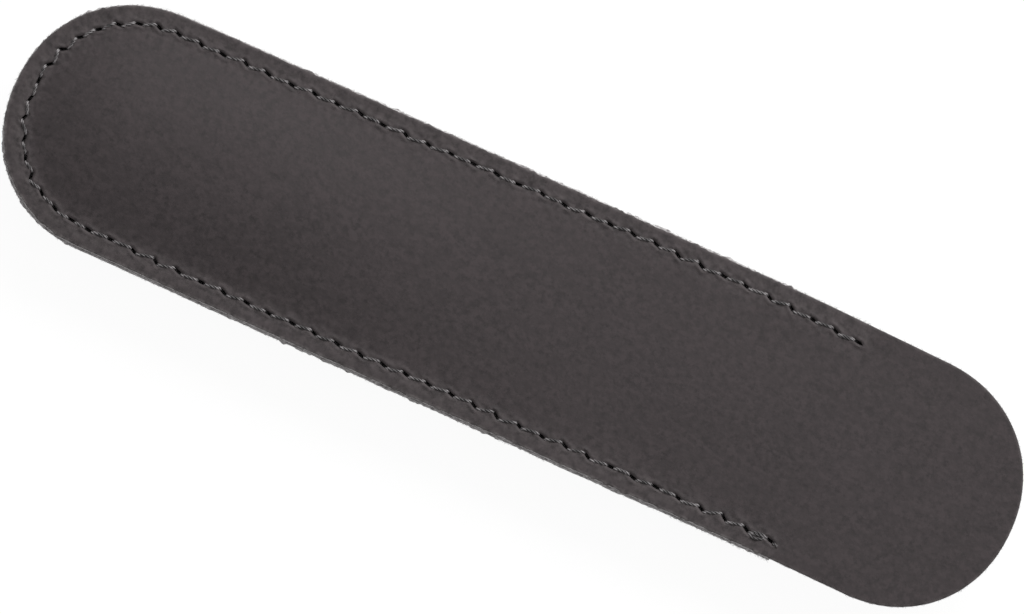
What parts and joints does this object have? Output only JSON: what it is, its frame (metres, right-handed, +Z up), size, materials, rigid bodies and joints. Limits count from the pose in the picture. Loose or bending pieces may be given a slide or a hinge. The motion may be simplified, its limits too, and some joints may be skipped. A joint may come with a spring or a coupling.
{
  "type": "pen sleeve",
  "caption": "Slim leather sleeve for a single pen: a moulded pocket sewn round three sides under a longer back panel that ends in a rounded pull tongue.",
  "frame": {"origin": "centre of the sleeve's footprint, on the surface that it lies on", "axes": "+X along the sleeve from its closed end to the tip of the tongue, +Y across it, +Z up out of the back panel"},
  "size_m": [0.175, 0.0414, 0.0126],
  "materials": {
    "front_leather": "matt charcoal leather, raw cut edges",
    "back_leather": "matt charcoal leather, raw cut edges",
    "needle_thread": "waxed charcoal sewing thread",
    "bobbin_thread": "waxed charcoal sewing thread"
  },
  "bodies": {
    "root": {"front_panel": "front_leather", "back_panel": "back_leather", "needle_thread": "needle_thread", "bobbin_thread": "bobbin_thread"}
  },
  "joints": []
}
